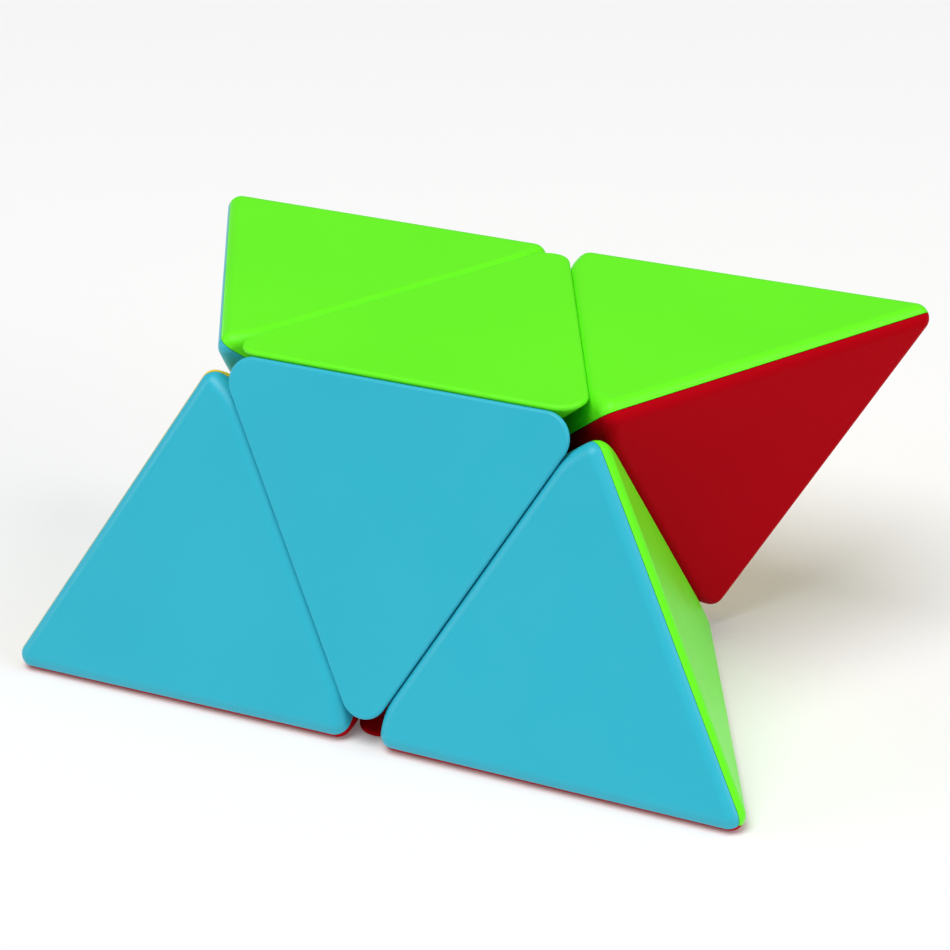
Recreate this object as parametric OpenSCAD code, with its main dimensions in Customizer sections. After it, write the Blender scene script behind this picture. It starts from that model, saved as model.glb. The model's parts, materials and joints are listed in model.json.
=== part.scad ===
// Pyramid twisty puzzle.
//
// A regular tetrahedron is cut by three planes through its centre into eight outer pieces, four points
// and four face pieces, which turn in half layers about three axes at right angles: a, b and c.
// The upper half stands a quarter turn away from the pyramid, so the two long ridges are parallel.
//
// Every piece is modelled in the frame of the three axes, with the core's centre at the origin, and
// stands in one of the eight octants. An octant is named by its signs along a, b and c.
// The last step sets the puzzle on its red side: +X runs along both ridges, +Z is up, and the origin
// is on the resting plane, straight below the core.

/* [Pyramid] */
// Edge length of the pyramid, measured between sharp tips
edge_len = 98; // [94:1:110]
// Radius that rounds the ridges, the tip and the edges along the cuts of a point
point_round = 1.7; // [1.4:0.1:2]
// Radius that rounds a point where two of its cuts meet, beside each turning axis
point_inner_round = 5; // [4.6:0.1:5.4]
// Radius that rounds the edges of a face piece
face_round = 0.4; // [0.3:0.05:0.5]
// Radius of a face piece's corners, seen square to its face
face_corner = 3; // [2.6:0.1:3.4]
// How far a face piece is cut back from each turning axis
face_cut = 1.3; // [1.1:0.1:2]
// Gap between neighbouring pieces across a cut
cut_gap = 0.1; // [0.1:0.05:0.4]
// Gap between two coloured shells of one point
seam_gap = 0.08; // [0.04:0.02:0.16]
// Thickness of the outer walls
outer_wall = 1.6; // [1.2:0.1:1.8]
// Thickness of the walls along the cuts
cut_wall = 1.5; // [1.2:0.1:2]

/* [Ball of hidden pieces] */
// Radius of the ball made up by the inner edges and the centre caps
ball_r = 16.5; // [16.2:0.1:16.8]
// Radius of the sphere under which the feet slide
foot_top_r = 12; // [11.8:0.1:12.2]
// Radius of the hollow round the core
core_hollow_r = 9; // [8.8:0.1:9.4]
// Half the width of a centre cap and of an inner edge
cap_half = 5; // [4.8:0.1:5.2]
// Half the width of a cap's stem and of an edge's foot
stem_half = 2.5; // [2.4:0.1:2.7]
// Room between a sliding face and the sphere or plane that it slides along
slide_gap = 0.15; // [0.12:0.01:0.2]
// Thickness of the plate that joins a foot to its shells
plate_t = 1.6; // [1.4:0.1:1.6]
// Radius of the post that stands inside a point
post_r = 3.5; // [3:0.1:4]
// Distance from the core's centre to the end of that post
post_end = 34; // [30:1:36]

/* [Core and tension screws] */
// Radius of the core's ball
core_r = 6.5; // [6:0.1:7]
// Radius of the core's six arms
arm_r = 2.4; // [2.2:0.1:2.5]
// Radius of a screw's shank
screw_r = 1; // [0.8:0.1:1]
// Radius of a screw's head
head_r = 2.3; // [2.1:0.1:2.4]
// Height of a screw's head
head_h = 1.2; // [1:0.1:1.3]
// Wire thickness of a spring
wire_d = 0.4; // [0.3:0.05:0.4]
// Turns of a spring
spring_turns = 2.5; // [2:0.5:2.5]

/* [Hidden] */
// Half the side of the cube whose alternate corners are the pyramid's tips
half_side = edge_len / (2 * sqrt(2));
// Height of the core's centre above the side that the puzzle rests on
core_height = half_side / sqrt(3);
// Angle between the c axis and the vertical, and between each axis and an outer plane's normal
c_tilt = acos(1 / sqrt(3));
// The pieces keep this far from each cut plane
cut_half = cut_gap / 2;
// Outer radius of a foot's plate
plate_r = ball_r + slide_gap + plate_t;
// Room between a plate and the shells that are glued round it
glue_gap = 0.02;
// Larger than any piece
big = 2 * edge_len;
// Length of a core arm, whose rim reaches the hollow's radius
arm_len = sqrt(pow(core_hollow_r, 2) - pow(arm_r, 2));
// A cap turns freely on its screw
screw_fit = 0.06;
// Floor of the recess in a cap, where the washer lies
recess_floor = foot_top_r + slide_gap + 0.75;
recess_r = 2.7;
washer_r = 2.4;
washer_t = 0.3;
// Underside of a screw's head, and the depth and width of the cross in it
head_bottom = 14.9;
cross_depth = 0.7;
cross_w = 0.5;
screw_tip = 3.5;
spring_r = 1.8;
// Room under a washer and at each end of a spring
stack_room = 0.02;
// Each rounding sphere is a little large, so that exact planes trim it flat
round_excess = 1.015;
point_fn = 24;
face_fn = 20;
sphere_fn = 96;

BLUE = [0.22, 0.72, 0.81];
GREEN = [0.42, 0.94, 0.17];
RED = [0.64, 0.03, 0.08];
YELLOW = [0.97, 0.85, 0.10];
DARK = [0.06, 0.06, 0.065];
PALE = [0.86, 0.86, 0.84];
STEEL = [0.70, 0.71, 0.73];

// Each point: name, octant, and the colour names of its shells. A shell's rank is the axis whose cut
// it lies along: 0 for c, 1 for a and 2 for b.
POINTS = [
    ["lower_right_point", [1, -1, -1], ["green", "blue", "red"]],
    ["lower_left_point", [-1, 1, -1], ["yellow", "red", "blue"]],
    ["upper_right_point", [1, -1, 1], ["red", "green", "yellow"]],
    ["upper_left_point", [-1, 1, 1], ["blue", "yellow", "green"]]
];
// Each face piece: name and octant
FACES = [
    ["red", [1, 1, -1]],
    ["blue", [-1, -1, -1]],
    ["green", [-1, -1, 1]],
    ["yellow", [1, 1, 1]]
];
AXES = ["a", "b", "c"];
SIDES = [1, -1];

function side_word(s) = s > 0 ? "plus" : "minus";
function shell_name(p, rank) = str(p[0], "_", p[2][rank], "_shell");
function edge_name(u, su, v, sv) =
    str("inner_edge_", AXES[u], "_", side_word(su), "_", AXES[v], "_", side_word(sv));
function cap_name(u, s) = str("centre_cap_", AXES[u], "_", side_word(s));
function paint(word) = word == "blue" ? BLUE : word == "green" ? GREEN : word == "red" ? RED : YELLOW;

// ---- placing ----

// From the frame of the three axes to the puzzle lying on its red side
module on_red_side() {
    translate([0, 0, core_height])
        rotate([-c_tilt, 0, 0])
            rotate([0, 0, 45])
                children();
}

// From the octant where all three signs are plus to the given one
module in_octant(signs) {
    mirror(signs[0] < 0 ? [1, 0, 0] : [0, 0, 0])
        mirror(signs[1] < 0 ? [0, 1, 0] : [0, 0, 0])
            mirror(signs[2] < 0 ? [0, 0, 1] : [0, 0, 0])
                children();
}

// Passes the axes on in turn, a to b to c, as many times as asked
module pass_on(times) {
    rotate(a = 120 * times, v = [1, 1, 1]) children();
}

// Turns the +Z direction to one end of an axis
module along(axis, side) {
    pass_on(axis + 1) mirror([0, 0, side < 0 ? 1 : 0]) children();
}

// ---- building blocks ----

// Everything below a plane whose normal leans from +Z by lean, towards the heading
module below_plane(heading, lean, distance) {
    rotate([0, lean, heading])
        translate([-big, -big, distance - 2 * big])
            cube([2 * big, 2 * big, 2 * big]);
}

// The part of the octant that keeps this far from the three cut planes
module octant_from(inset) {
    translate([inset, inset, inset]) cube(big);
}

// The same, with the strip beside each turning axis cut away up to this distance from the axis
module cut_octant(inset, axis_cut) {
    intersection() {
        octant_from(inset);
        below_plane(-90, 135, -axis_cut);
        pass_on(1) below_plane(-90, 135, -axis_cut);
        pass_on(2) below_plane(-90, 135, -axis_cut);
    }
}

// The part of the octant that keeps this far from the three cut planes, and is rounded by this
// radius where two of its sides meet
module round_octant(inset, edge_round) {
    intersection_for(axis = [0:2])
        pass_on(axis)
            union() {
                translate([-big, inset + edge_round, inset]) cube([2 * big, big, big]);
                translate([-big, inset, inset + edge_round]) cube([2 * big, big, big]);
                translate([-big, inset + edge_round, inset + edge_round])
                    rotate([0, 90, 0])
                        cylinder(r = edge_round, h = 2 * big, $fn = 96);
            }
}

// A slab across the c axis and the b axis, reaching along the a axis
module bar_along_a(half_w) {
    translate([0, -half_w, -half_w]) cube([big, 2 * half_w, 2 * half_w]);
}

// The wedge between the a and b axes, of the given half thickness
module wedge_ab(inset, half_w) {
    translate([inset, inset, -half_w]) cube([big, big, 2 * half_w]);
}

module ball(r) {
    sphere(r, $fn = sphere_fn);
}

// Rounding spheres at places given for the a axis, and at their likes for the b and c axes
module rounders(places) {
    for (rank = [0:2])
        pass_on(rank)
            for (place = places)
                translate(place) children();
}

// ---- points ----

// Everything below the point's three outer planes, moved in by the inset
module below_outer_planes(inset) {
    distance = half_side / sqrt(3) - inset;
    intersection() {
        below_plane(-45, c_tilt, distance);
        below_plane(135, c_tilt, distance);
        below_plane(45, 180 - c_tilt, distance);
    }
}

// A point's rounding sphere, its poles on the line that is equally far from the three axes and its
// facets even to either side of each seam
module point_ball() {
    rotate([0, c_tilt, 45])
        rotate([0, 0, 180 / point_fn])
            sphere(point_round * round_excess, $fn = point_fn);
}

// The point's rounded outer form: spheres along its inner edges and at its tip
module round_point() {
    middle = cut_half + point_inner_round;
    arc_r = point_inner_round - point_round;
    out = half_side - sqrt(3) * point_round;
    arc = [for (angle = [0:18:90]) [middle - arc_r * sin(angle), middle - arc_r * cos(angle)]];
    intersection() {
        octant_from(cut_half);
        below_outer_planes(0);
        hull()
            rounders(concat(
                [for (p = arc) [out - abs(p[0] - p[1]), p[0], p[1]]],
                [for (p = arc) [middle, p[0], p[1]]],
                [[out, out, out]]
            )) point_ball();
    }
}

// The hollow inside a point
module point_hollow() {
    intersection() {
        round_octant(cut_half + cut_wall, point_inner_round - cut_wall);
        below_outer_planes(outer_wall);
    }
}

// One of the three shells that clip together round a point: the outer wall and the wall along the
// cut below it, split from the other two along the middle of the rounded edges
module point_shell(rank) {
    pass_on(rank)
        difference() {
            intersection() {
                round_point();
                below_plane(-90, 45, -seam_gap / 2);
                below_plane(180, 45, -seam_gap / 2);
            }
            point_hollow();
            ball(plate_r + glue_gap);
        }
}

// ---- face pieces ----

module sharp_face(wall_along_cuts, outer_inset) {
    intersection() {
        cut_octant(cut_half + wall_along_cuts, face_cut + wall_along_cuts);
        below_plane(45, c_tilt, half_side / sqrt(3) - outer_inset);
    }
}

// The face piece's rounded outer form: each corner of its face is an arc of spheres
module round_face() {
    side = cut_half + face_round;
    strip = sqrt(2) * (face_cut + face_round);
    arc_r = face_corner - face_round;
    corner = [half_side - sqrt(3) * face_round - 2 * side, side, side];
    outward = [2, -1, -1] / sqrt(6);
    across = [0, 1, -1] / sqrt(2);
    arc = [
        for (angle = [-60:30:60])
            corner + arc_r * ((cos(angle) - 2) * outward + sin(angle) * across)
    ];
    intersection() {
        sharp_face(0, 0);
        hull()
            rounders(concat(arc, [[strip - side, strip - side, side]]))
                sphere(face_round * round_excess, $fn = face_fn);
    }
}

// The coloured cap of a face piece
module face_cap() {
    difference() {
        round_face();
        sharp_face(cut_wall, outer_wall);
        ball(plate_r + glue_gap);
    }
}

// ---- feet ----

// A foot slides inside the ball, its stalk passes between the caps and edges, and its plate closes
// the piece's shells. The plate is trimmed to the form that is given as a child.
module foot() {
    difference() {
        union() {
            intersection() {
                octant_from(stem_half + slide_gap);
                ball(foot_top_r - slide_gap);
            }
            intersection() {
                octant_from(cap_half + slide_gap);
                ball(ball_r + slide_gap + plate_t / 2);
            }
        }
        ball(core_hollow_r + slide_gap);
    }
    intersection() {
        children();
        difference() {
            ball(plate_r);
            ball(ball_r + slide_gap);
        }
    }
}

// A point's foot has a hollow post towards the tip, where the shells clip on
module point_foot() {
    bore_r = post_r / 2;
    bore_len = 10;
    difference() {
        union() {
            foot() round_octant(cut_half, point_inner_round);
            rotate([0, c_tilt, 45])
                translate([0, 0, ball_r + plate_t / 2])
                    cylinder(r = post_r, h = post_end - ball_r - plate_t / 2, $fn = 48);
        }
        rotate([0, c_tilt, 45])
            translate([0, 0, post_end - bore_len])
                cylinder(r = bore_r, h = bore_len + 1, $fn = 48);
    }
}

// ---- inner edges, centre caps and core ----

// An inner edge between the +a and +b caps: its foot is held under both caps
module inner_edge() {
    difference() {
        union() {
            intersection() {
                wedge_ab(stem_half + slide_gap, stem_half - slide_gap);
                ball(foot_top_r - slide_gap);
            }
            intersection() {
                wedge_ab(cap_half + slide_gap, stem_half - slide_gap);
                ball(foot_top_r + 2 * slide_gap);
            }
        }
        ball(core_hollow_r + slide_gap);
    }
    intersection() {
        wedge_ab(cap_half + slide_gap, cap_half - slide_gap);
        difference() {
            ball(ball_r - slide_gap);
            ball(foot_top_r + slide_gap);
        }
    }
}

// A centre cap on the +a arm, with a stem round its screw and a recess for the spring
module centre_cap() {
    difference() {
        union() {
            intersection() {
                bar_along_a(cap_half - slide_gap);
                difference() {
                    ball(ball_r - slide_gap);
                    ball(foot_top_r + slide_gap);
                }
            }
            intersection() {
                bar_along_a(stem_half - slide_gap);
                difference() {
                    ball(foot_top_r + 2 * slide_gap);
                    ball(core_hollow_r + slide_gap);
                }
            }
        }
        rotate([0, 90, 0])
            cylinder(r = screw_r + screw_fit, h = ball_r, $fn = 48);
        translate([recess_floor, 0, 0])
            rotate([0, 90, 0])
                cylinder(r = recess_r, h = ball_r, $fn = 48);
    }
}

// The core: a ball with six arms, each bored for a screw
module core() {
    bore_len = arm_len - screw_tip + 1;
    color(PALE)
        difference() {
            union() {
                ball(core_r);
                for (axis = [0:2])
                    for (side = SIDES)
                        along(axis, side) cylinder(r = arm_r, h = arm_len, $fn = 48);
            }
            for (axis = [0:2])
                for (side = SIDES)
                    along(axis, side)
                        translate([0, 0, screw_tip - 0.3])
                            cylinder(r = screw_r, h = bore_len + 0.3, $fn = 48);
        }
}

// A pan-head screw with a cross in its head
module screw() {
    difference() {
        union() {
            translate([0, 0, screw_tip])
                cylinder(r = screw_r, h = head_bottom - screw_tip + head_h / 2, $fn = 48);
            translate([0, 0, head_bottom]) cylinder(r = head_r, h = head_h, $fn = 48);
        }
        for (angle = [0, 90])
            rotate([0, 0, angle])
                translate([-head_r * 0.7, -cross_w / 2, head_bottom + head_h - cross_depth])
                    cube([head_r * 1.4, cross_w, cross_depth + 1]);
    }
}

module washer() {
    translate([0, 0, recess_floor + stack_room])
        difference() {
            cylinder(r = washer_r, h = washer_t, $fn = 48);
            translate([0, 0, -1])
                cylinder(r = screw_r + screw_fit, h = washer_t + 2, $fn = 48);
        }
}

// The points of one ring of the spring's wire
function wire_ring(turn, rise, sides) = [
    for (i = [0:sides - 1])
        let (out = spring_r + wire_d / 2 * cos(360 * i / sides))
            [out * cos(360 * turn), out * sin(360 * turn), rise * turn + wire_d / 2 * sin(360 * i / sides)]
];

// A coil spring between the washer and the screw's head
module spring() {
    sides = 6;
    steps = round(14 * spring_turns);
    bottom = recess_floor + washer_t + 2 * stack_room + wire_d / 2;
    height = head_bottom - stack_room - wire_d / 2 - bottom;
    rings = [for (k = [0:steps]) wire_ring(spring_turns * k / steps, height / spring_turns, sides)];
    points = [for (ring = rings) for (p = ring) p];
    skin = [
        for (k = [0:steps - 1])
            for (i = [0:sides - 1])
                let (j = (i + 1) % sides)
                    [k * sides + j, k * sides + i, (k + 1) * sides + i, (k + 1) * sides + j]
    ];
    ends = [
        [for (i = [0:sides - 1]) i],
        [for (i = [sides - 1:-1:0]) steps * sides + i]
    ];
    translate([0, 0, bottom]) polyhedron(points = points, faces = concat(skin, ends), convexity = 8);
}

// One of each on every arm
module on_every_arm() {
    for (axis = [0:2])
        for (side = SIDES)
            along(axis, side) children();
}

module tension_screws() {
    color(STEEL) on_every_arm() screw();
}

module tension_springs() {
    color(STEEL) on_every_arm() spring();
}

module tension_washers() {
    color(STEEL) on_every_arm() washer();
}

// ---- drawing ----

on_red_side() {
    for (p = POINTS) {
        for (rank = [0:2])
            color(paint(p[2][rank])) in_octant(p[1]) point_shell(rank);
        color(DARK) in_octant(p[1]) point_foot();
    }
    for (f = FACES) {
        color(paint(f[0])) in_octant(f[1]) face_cap();
        color(DARK) in_octant(f[1]) foot() cut_octant(cut_half, face_cut);
    }
    for (u = [0:2])
        for (su = SIDES) {
            for (sv = SIDES)
                color(DARK) pass_on(u) in_octant([su, sv, 1]) inner_edge();
            color(DARK) pass_on(u) in_octant([su, 1, 1]) centre_cap();
        }
    core();
    tension_screws();
    tension_springs();
    tension_washers();
}
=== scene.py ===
import bpy
import bmesh
import json
import math
import numpy as np
from mathutils import Matrix, Vector

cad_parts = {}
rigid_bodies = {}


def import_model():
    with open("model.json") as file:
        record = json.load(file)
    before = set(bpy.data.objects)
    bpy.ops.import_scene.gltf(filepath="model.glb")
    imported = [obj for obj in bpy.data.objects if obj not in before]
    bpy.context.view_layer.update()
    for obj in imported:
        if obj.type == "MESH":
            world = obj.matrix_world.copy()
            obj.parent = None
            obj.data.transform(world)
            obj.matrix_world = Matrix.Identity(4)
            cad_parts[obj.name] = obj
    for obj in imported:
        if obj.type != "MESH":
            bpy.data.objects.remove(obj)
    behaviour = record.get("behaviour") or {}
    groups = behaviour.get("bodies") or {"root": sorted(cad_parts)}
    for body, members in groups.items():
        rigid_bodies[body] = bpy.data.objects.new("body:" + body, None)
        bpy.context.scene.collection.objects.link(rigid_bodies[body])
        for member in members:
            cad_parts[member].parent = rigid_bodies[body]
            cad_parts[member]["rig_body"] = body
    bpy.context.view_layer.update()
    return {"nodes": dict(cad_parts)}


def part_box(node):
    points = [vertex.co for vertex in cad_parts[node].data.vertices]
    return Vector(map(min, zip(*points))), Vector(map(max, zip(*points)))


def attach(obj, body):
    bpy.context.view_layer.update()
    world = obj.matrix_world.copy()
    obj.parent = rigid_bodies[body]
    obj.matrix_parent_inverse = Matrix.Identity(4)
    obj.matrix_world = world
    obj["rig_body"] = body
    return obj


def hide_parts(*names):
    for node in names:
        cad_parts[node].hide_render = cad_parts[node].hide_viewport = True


# Pyramid twisty puzzle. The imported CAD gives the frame, the bodies and the hidden mechanism. The
# sixteen coloured shells and caps are built here again with true round edges and stand for the CAD's.
#
# Every piece is made in the frame of the three turning axes a, b and c, with the core's centre at the
# origin, for the octant where all three signs are plus, and is then placed in its own octant.

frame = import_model()

MM = 0.001

# ---- sizes, in metres ----

low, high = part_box("core")
core_centre = (low + high) / 2
half_side = core_centre.z * math.sqrt(3)  # half the side of the cube that the pyramid fits in
outer_distance = half_side / math.sqrt(3)  # from the core's centre to each outer face

POINT_ROUND = 1.7 * MM  # ridges, tips and cut edges of the points
POINT_INNER_ROUND = 5.0 * MM  # where two cuts of a point meet beside a turning axis
FACE_ROUND = 0.4 * MM  # edges of the face caps
FACE_CORNER = 3.0 * MM  # corners of the face caps, seen square to the face
FACE_CUT = 1.3 * MM  # how far the face caps are cut back from the turning axes
CUT_HALF = 0.05 * MM  # from each cut plane to the pieces beside it
SEAM_HALF = 0.04 * MM  # from the middle of a ridge to the shells beside it
OUTER_WALL = 1.6 * MM
CUT_WALL = 1.5 * MM
PLATE_R = 18.27 * MM  # the round hollow over the plates of the feet

# ---- fineness of the meshes, and tolerances ----

ARC_STEP = 6  # degrees between the corners along a wide arc
POINT_STEPS = 14  # flats in a quarter turn of a point's round edges
FACE_STEPS = 12  # flats in a quarter turn of a face cap's round edges
BALL_SEGMENTS = 128

SAME_PLACE = 1e-8  # places nearer than this are one
SLACK = 1e-9
PARALLEL = 1e-6  # three planes with a smaller determinant don't meet in a corner
TINY = 1e-12
ON_ROUND = 0.02 * MM  # how near to the true surface the middle of an outer facet lies
FACING_OUT = 0.9  # the least cosine between an outer facet's normal and the true one

# Turns the frame of the axes so that the red face lies flat on the floor.
LEAN = math.acos(1 / math.sqrt(3))
to_world = np.array(Matrix.Rotation(-LEAN, 3, "X") @ Matrix.Rotation(math.radians(45), 3, "Z"))
centre = np.array(core_centre)

# ---- convex forms ----


def unit(v):
    v = np.asarray(v, float)
    return v / np.linalg.norm(v)


def is_new(place, found):
    return not any(np.linalg.norm(place - q) < SAME_PLACE for q in found)


def corners_of(planes):
    """The corners of the convex form that lies inside all the planes, each a (normal, distance)."""
    n = np.array([p[0] for p in planes])
    d = np.array([p[1] for p in planes])
    found = []
    for i in range(len(n)):
        for j in range(i + 1, len(n)):
            for k in range(j + 1, len(n)):
                m = n[[i, j, k]]
                if abs(np.linalg.det(m)) < PARALLEL:
                    continue
                p = np.linalg.solve(m, d[[i, j, k]])
                if (n @ p <= d + SLACK).all() and is_new(p, found):
                    found.append(p)
    return np.array(found)


def linked(name, data):
    """A new object in the scene."""
    o = bpy.data.objects.new(name, data)
    bpy.context.scene.collection.objects.link(o)
    return o


def mesh_of(bm, name):
    """The bmesh as a mesh. The bmesh is freed."""
    mesh = bpy.data.meshes.new(name)
    bm.to_mesh(mesh)
    bm.free()
    return mesh


def hull_of(points):
    """The convex hull of the points as a bmesh, each of whose corners keeps its index."""
    bm = bmesh.new()
    for p in points:
        bm.verts.new(p)
    bm.verts.index_update()
    bmesh.ops.convex_hull(bm, input=bm.verts)
    return bm


def hull_mesh(points, name):
    """The convex hull of the points as an object."""
    bm = hull_of(points)
    loose = [v for v in bm.verts if not v.link_faces]
    bmesh.ops.delete(bm, geom=loose, context="VERTS")
    bmesh.ops.recalc_face_normals(bm, faces=bm.faces)
    return linked(name, mesh_of(bm, name))


class Convex:
    """A convex polyhedron given by its corners: its flat faces and its edges."""

    def __init__(self, corners):
        self.corners = corners
        middle = corners.mean(0)
        normals, offsets, members = [], [], []
        bm = hull_of(corners / MM)
        for face in bm.faces:
            a, b, c = (corners[v.index] for v in face.verts[:3])
            n = unit(np.cross(b - a, c - a))
            if n @ (a - middle) < 0:
                n = -n
            if not any(n @ m > 1 - SLACK for m in normals):
                normals.append(n)
                offsets.append(n @ a)
                members.append(np.nonzero(corners @ n - n @ a > -SAME_PLACE)[0])
        bm.free()
        self.normals = np.array(normals)
        self.offsets = np.array(offsets)
        self.members = [set(m.tolist()) for m in members]
        self.edges = []
        for f in range(len(normals)):
            for g in range(f + 1, len(normals)):
                shared = self.members[f] & self.members[g]
                if len(shared) == 2:
                    self.edges.append((f, g, *sorted(shared)))

    def nearest(self, points):
        """The nearest point of the surface to each of the points, which lie on or outside it."""
        best = np.full(len(points), np.inf)
        found = np.zeros_like(points)
        for n, d in zip(self.normals, self.offsets):
            away = points @ n - d
            foot = points - away[:, None] * n
            inside = (foot @ self.normals.T <= self.offsets + SLACK).all(1)
            better = inside & (np.abs(away) < best)
            best[better] = np.abs(away)[better]
            found[better] = foot[better]
        for _, _, i, j in self.edges:
            a, b = self.corners[i], self.corners[j]
            t = np.clip((points - a) @ (b - a) / ((b - a) @ (b - a)), 0, 1)
            foot = a + t[:, None] * (b - a)
            away = np.linalg.norm(points - foot, axis=1)
            better = away < best
            best[better] = away[better]
            found[better] = foot[better]
        return found

    def rounded(self, radius, steps, name):
        """The form whose faces lie radius outside this one, with round edges and corners of that radius."""
        points = []
        for n, m in zip(self.normals, self.members):
            points += [self.corners[i] + radius * n for i in m]
        for f, g, i, j in self.edges:
            nf, ng = self.normals[f], self.normals[g]
            angle = math.acos(max(-1.0, min(1.0, float(nf @ ng))))
            # An even number of flats, so that a row of corners runs along the middle of the edge.
            parts = 2 * max(1, round(angle / (math.pi / 2) * steps / 2))
            for k in range(1, parts):
                u = unit(nf * math.sin(angle * (1 - k / parts)) + ng * math.sin(angle * k / parts))
                points += [self.corners[i] + radius * u, self.corners[j] + radius * u]
        # Directions spread evenly over a sphere, each used at the corner that lies furthest that way.
        count = steps * steps * 6
        directions = []
        for k in range(count):
            z = 1 - (2 * k + 1) / count
            turn = k * math.pi * (3 - math.sqrt(5))
            ring = math.sqrt(1 - z * z)
            directions.append((ring * math.cos(turn), ring * math.sin(turn), z))
        directions = np.array(directions)
        owner = np.argmax(directions @ self.corners.T, axis=1)
        points += list(self.corners[owner] + radius * directions)
        return hull_mesh(points, name)


# ---- cutting and shading ----


def combined(target, tool, operation):
    """The target with the tool cut from it, or only what both share. The tool is removed."""
    cut = target.modifiers.new("cut", "BOOLEAN")
    cut.object = tool
    cut.operation = operation
    cut.solver = "EXACT"
    graph = bpy.context.evaluated_depsgraph_get()
    mesh = bpy.data.meshes.new_from_object(target.evaluated_get(graph))
    name = target.name
    bpy.data.objects.remove(target)
    bpy.data.objects.remove(tool)
    return linked(name, mesh)


def ball(radius, name):
    bm = bmesh.new()
    bmesh.ops.create_uvsphere(
        bm, u_segments=BALL_SEGMENTS, v_segments=BALL_SEGMENTS // 2, radius=radius
    )
    return linked(name, mesh_of(bm, name))


def form_of(o, core, radius):
    """The object as plain lists, with each corner's normal: the true one on the rounded outside."""
    mesh = o.data
    co = np.array([v.co for v in mesh.vertices], float)
    faces = [list(p.vertices) for p in mesh.polygons]
    flat = np.array([p.normal for p in mesh.polygons], float)
    middle = np.array([p.center for p in mesh.polygons], float)
    away = middle - core.nearest(middle)
    size = np.linalg.norm(away, axis=1)
    outward = (away * flat).sum(1) / np.maximum(size, TINY)
    outside = (np.abs(size - radius) < ON_ROUND) & (outward > FACING_OUT)
    true = co - core.nearest(co)
    true /= np.maximum(np.linalg.norm(true, axis=1), TINY)[:, None]
    normals = [true[i] if outside[k] else flat[k] for k, face in enumerate(faces) for i in face]
    bpy.data.objects.remove(o)
    return co, faces, np.array(normals)


def turned(form, matrix, offset):
    """The form under a turn or a mirror image, with its faces kept the right way out."""
    co, faces, normals = form
    co = co @ matrix.T + offset
    normals = normals @ matrix.T
    if np.linalg.det(matrix) < 0:
        out, at = [], 0
        for face in faces:
            out.append(normals[at:at + len(face)][::-1])
            at += len(face)
        faces = [face[::-1] for face in faces]
        normals = np.concatenate(out)
    return co, faces, normals


def piece_from(form, name):
    co, faces, normals = form
    mesh = bpy.data.meshes.new(name)
    mesh.from_pydata(co.tolist(), [], faces)
    mesh.update()
    mesh.shade_smooth()
    mesh.normals_split_custom_set(normals.tolist())
    return linked(name, mesh)


# ---- the two base forms ----

AXES = np.eye(3)
PASS_ON = np.array([[0, 0, 1], [1, 0, 0], [0, 1, 0]], float)


def face_planes(inset, outer_inset, axis_cut):
    """The planes of a face piece: the outer one, three beside the cuts and three that cut its corners
    back from the turning axes."""
    planes = [(unit([1, 1, 1]), outer_distance - outer_inset)]
    planes += [(-a, -inset) for a in AXES]
    planes += [(-unit([a != k for a in range(3)]), -axis_cut) for k in range(3)]
    return planes


def passed_on(places):
    """Places given for the a axis, together with their likes for the b and c axes."""
    turn = np.linalg.matrix_power
    return np.array([turn(PASS_ON, rank) @ place for rank in range(3) for place in places])


def point_places(arc, depth):
    """Corners of a form inside a point, this deep under its outer planes and with arcs of this radius
    along its three inner edges."""
    middle = CUT_HALF + POINT_INNER_ROUND
    out = half_side - math.sqrt(3) * depth
    places = [(out, out, out)]
    for angle in np.radians(np.arange(0, 91, ARC_STEP)):
        b, c = middle - arc * math.sin(angle), middle - arc * math.cos(angle)
        places += [(out - abs(b - c), b, c), (middle, b, c)]
    found = []
    for place in passed_on(places):
        if is_new(place, found):
            found.append(place)
    return np.array(found)


def point_form():
    """One shell of a point: the outer wall, the wall along the c cut and half of each ridge beside it."""
    r = POINT_ROUND
    core = Convex(point_places(POINT_INNER_ROUND - r, r))
    o = core.rounded(r, POINT_STEPS, "point_form")
    hollow = hull_mesh(point_places(POINT_INNER_ROUND - CUT_WALL, OUTER_WALL), "hollow")
    o = combined(o, hollow, "DIFFERENCE")
    o = combined(o, ball(PLATE_R, "ball"), "DIFFERENCE")
    reach = 4 * half_side
    wedge = corners_of([
        (unit([0, -1, 1]), -SEAM_HALF),
        (unit([-1, 0, 1]), -SEAM_HALF),
        (unit([0, 0, -1]), reach),
        (unit([1, 1, 0]), reach),
    ])
    o = combined(o, hull_mesh(wedge, "wedge"), "INTERSECT")
    return form_of(o, core, r)


def face_form():
    """The cap of a face piece, whose three corners are rounded in the plane of its face as well."""
    r = FACE_ROUND
    side = CUT_HALF + r
    strip = math.sqrt(2) * (FACE_CUT + r)
    arc = FACE_CORNER - r
    corner = np.array([half_side - math.sqrt(3) * r - 2 * side, side, side])
    outward = unit([2, -1, -1])
    across = unit([0, 1, -1])
    places = [
        corner + arc * ((math.cos(a) - 2) * outward + math.sin(a) * across)
        for a in np.radians(np.arange(-60, 61, ARC_STEP))
    ]
    places.append(np.array([strip - side, strip - side, side]))
    core = Convex(passed_on(places))
    o = core.rounded(r, FACE_STEPS, "face_form")
    hollow = corners_of(face_planes(CUT_HALF + CUT_WALL, OUTER_WALL, FACE_CUT + CUT_WALL))
    o = combined(o, hull_mesh(hollow, "hollow"), "DIFFERENCE")
    o = combined(o, ball(PLATE_R, "ball"), "DIFFERENCE")
    return form_of(o, core, r)


# ---- finishes ----

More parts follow.
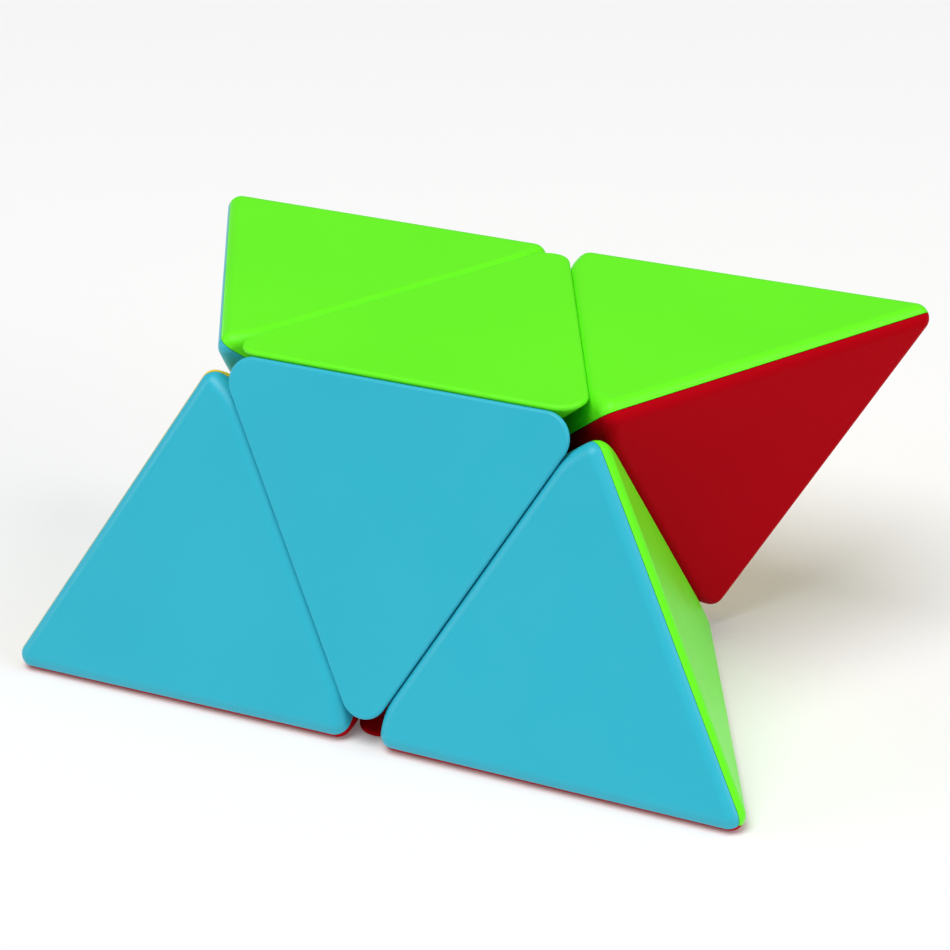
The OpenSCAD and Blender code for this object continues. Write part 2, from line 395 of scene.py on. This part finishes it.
GRAIN_SCALE = 2600
GRAIN_DEPTH = 0.04 * MM
SHINE_SCALE = 90
SHINE_DROP, SHINE_RISE = 0.04, 0.05  # how far the roughness drifts down and up
TONE_SCALE = 35
TONE_DRIFT = 0.02  # the share by which the colour drifts down and up
NOISE_LOW, NOISE_HIGH = 0.3, 0.7  # the part of the noise's range that is spread over each drift


def plastic(name, colour, roughness, grain, gloss=0.2, index=1.5):
    """Moulded plastic: a fine grain in the surface, and small drifts of its shine and tone."""
    m = bpy.data.materials.new(name)
    m.use_nodes = True
    nodes, links = m.node_tree.nodes, m.node_tree.links
    shader = nodes["Principled BSDF"]
    shader.inputs["IOR"].default_value = index
    shader.inputs["Specular IOR Level"].default_value = gloss
    place = nodes.new("ShaderNodeTexCoord")

    def noise(scale, detail):
        n = nodes.new("ShaderNodeTexNoise")
        n.inputs["Scale"].default_value = scale
        n.inputs["Detail"].default_value = detail
        links.new(place.outputs["Object"], n.inputs["Vector"])
        return n.outputs["Fac"]

    bump = nodes.new("ShaderNodeBump")
    bump.inputs["Strength"].default_value = grain
    bump.inputs["Distance"].default_value = GRAIN_DEPTH
    links.new(noise(GRAIN_SCALE, 3), bump.inputs["Height"])
    links.new(bump.outputs["Normal"], shader.inputs["Normal"])

    shine = nodes.new("ShaderNodeMapRange")
    shine.inputs["From Min"].default_value = NOISE_LOW
    shine.inputs["From Max"].default_value = NOISE_HIGH
    shine.inputs["To Min"].default_value = roughness - SHINE_DROP
    shine.inputs["To Max"].default_value = roughness + SHINE_RISE
    links.new(noise(SHINE_SCALE, 4), shine.inputs["Value"])
    links.new(shine.outputs["Result"], shader.inputs["Roughness"])

    tone = nodes.new("ShaderNodeValToRGB")
    darker, lighter = tone.color_ramp.elements
    darker.position, lighter.position = NOISE_LOW, NOISE_HIGH
    darker.color = (*[c * (1 - TONE_DRIFT) for c in colour], 1)
    lighter.color = (*[min(1, c * (1 + TONE_DRIFT)) for c in colour], 1)
    links.new(noise(TONE_SCALE, 2), tone.inputs["Fac"])
    links.new(tone.outputs["Color"], shader.inputs["Base Color"])
    return m


def steel(name):
    """Plated steel, with the same kind of grain and drifts."""
    m = plastic(name, (0.55, 0.56, 0.58), 0.3, 0.15)
    m.node_tree.nodes["Principled BSDF"].inputs["Metallic"].default_value = 1.0
    return m


# Colour, roughness and grain, and for some also gloss and refractive index.
FINISH = {
    "blue_plastic": plastic("blue_plastic", (0.028, 0.448, 0.590), 0.36, 0.10, 0.3),
    "green_plastic": plastic("green_plastic", (0.140, 0.900, 0.015), 0.36, 0.10, 0.4, 1.3),
    "red_plastic": plastic("red_plastic", (0.440, 0.001, 0.006), 0.36, 0.10, 0.1, 1.12),
    "yellow_plastic": plastic("yellow_plastic", (0.900, 0.640, 0.010), 0.36, 0.10),
    "dark_plastic": plastic("dark_plastic", (0.010, 0.010, 0.011), 0.45, 0.25),
    "cap_plastic": plastic("cap_plastic", (0.016, 0.016, 0.018), 0.38, 0.20),
    "core_plastic": plastic("core_plastic", (0.620, 0.620, 0.590), 0.42, 0.20),
    "screw_steel": steel("screw_steel"),
}


def finish_piece(o, slot):
    o.data.materials.clear()
    o.data.materials.append(FINISH[slot])


# ---- the pieces ----

body_of_node = {n: o["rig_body"] for n, o in frame["nodes"].items()}

# Each point's octant, and the colours of its faces beside the c, a and b cuts.
POINTS = {
    "lower_right_point": ((1, -1, -1), ("green", "blue", "red")),
    "lower_left_point": ((-1, 1, -1), ("yellow", "red", "blue")),
    "upper_right_point": ((1, -1, 1), ("red", "green", "yellow")),
    "upper_left_point": ((-1, 1, 1), ("blue", "yellow", "green")),
}
FACES = {
    "red": (1, 1, -1),
    "blue": (-1, -1, -1),
    "green": (-1, -1, 1),
    "yellow": (1, 1, 1),
}


def build(form, octant, rank, node, colour):
    """Places a base form in its octant, passed on by rank, and lets it stand for the CAD node."""
    m = to_world @ np.diag(octant).astype(float) @ np.linalg.matrix_power(PASS_ON, rank)
    o = piece_from(turned(form, m, centre), node + "_round")
    finish_piece(o, colour + "_plastic")
    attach(o, body_of_node[node])
    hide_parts(node)


shell = point_form()
cap = face_form()
for point, (octant, colours) in POINTS.items():
    for rank, colour in enumerate(colours):
        build(shell, octant, rank, f"{point}_{colour}_shell", colour)
for colour, octant in FACES.items():
    build(cap, octant, 0, f"{colour}_face_cap", colour)

# The CAD's own nodes that stay, by the last or the first word of their names.
HIDDEN_FINISH = {
    "foot": "dark_plastic",
    "inner": "dark_plastic",
    "centre": "cap_plastic",
    "core": "core_plastic",
    "tension": "screw_steel",
}
for node, o in frame["nodes"].items():
    if not o.hide_render:
        word = "foot" if node.endswith("foot") else node.split("_")[0]
        finish_piece(o, HIDDEN_FINISH[word])

# ---- floor and light ----

FLOOR_HALF_SIDE = 3
FLOOR_COLOUR = (0.84, 0.84, 0.84, 1)
FLOOR_ROUGHNESS = 0.9
FLOOR_GLOW = 0.10
SKY_STRENGTH = 0.14
WHITE = (1, 1, 1, 1)
LIGHT_DISTANCE = 2

scene = bpy.context.scene


def floor_material():
    m = bpy.data.materials.new("floor_paint")
    m.use_nodes = True
    shader = m.node_tree.nodes["Principled BSDF"]
    shader.inputs["Roughness"].default_value = FLOOR_ROUGHNESS
    shader.inputs["Base Color"].default_value = FLOOR_COLOUR
    shader.inputs["Emission Color"].default_value = WHITE
    shader.inputs["Emission Strength"].default_value = FLOOR_GLOW
    return m


bm = bmesh.new()
bmesh.ops.create_grid(bm, x_segments=1, y_segments=1, size=FLOOR_HALF_SIDE)
floor = linked("floor", mesh_of(bm, "floor"))
floor.data.materials.append(floor_material())

world = bpy.data.worlds.new("studio")
world.use_nodes = True
world.node_tree.nodes["Background"].inputs["Color"].default_value = WHITE
world.node_tree.nodes["Background"].inputs["Strength"].default_value = SKY_STRENGTH
scene.world = world
scene.view_settings.view_transform = "Standard"


def seen_from(azimuth, elevation):
    """The direction in which something at this azimuth and elevation lies, seen from the puzzle."""
    az, el = math.radians(azimuth), math.radians(elevation)
    return Vector((math.sin(az) * math.cos(el), -math.cos(az) * math.cos(el), math.sin(el)))


def softbox(name, azimuth, elevation, size, power):
    """A square light that faces the puzzle, with its size in metres and its power in watts."""
    direction = seen_from(azimuth, elevation)
    light = bpy.data.lights.new(name, "AREA")
    light.size = size
    light.energy = power
    o = linked(name, light)
    o.location = core_centre + LIGHT_DISTANCE * direction
    o.rotation_euler = direction.to_track_quat("Z", "Y").to_euler()


softbox("top_light", -8, 70, 1.4, 33.5)
softbox("left_light", -60, 20, 1.0, 7)
softbox("right_light", 80, 20, 1.2, 13.2)
softbox("back_light", 118, 52, 0.5, 5)

# ---- camera ----

CAMERA_AZIMUTH = 29.64
CAMERA_ELEVATION = 26.27
CAMERA_DISTANCE = 0.41073
CAMERA_ROLL = math.radians(-3.18)
SENSOR_WIDTH = 36
FOCAL_LENGTH = 135.01
AIM_ASIDE = 1.17 * MM
AIM_ABOVE = 2.0 * MM

target = Vector((AIM_ASIDE, 0, core_centre.z + AIM_ABOVE))
direction = seen_from(CAMERA_AZIMUTH, CAMERA_ELEVATION)
right = (-direction).cross(Vector((0, 0, 1))).normalized()
up = direction.cross(right)
right_rolled = right * math.cos(CAMERA_ROLL) + up * math.sin(CAMERA_ROLL)
up_rolled = -right * math.sin(CAMERA_ROLL) + up * math.cos(CAMERA_ROLL)
lens = bpy.data.cameras.new("camera")
lens.sensor_width = SENSOR_WIDTH
lens.lens = FOCAL_LENGTH
camera = linked("camera", lens)
turn = Matrix((right_rolled, up_rolled, direction)).transposed()
camera.matrix_world = Matrix.Translation(target + direction * CAMERA_DISTANCE) @ turn.to_4x4()
scene.camera = camera
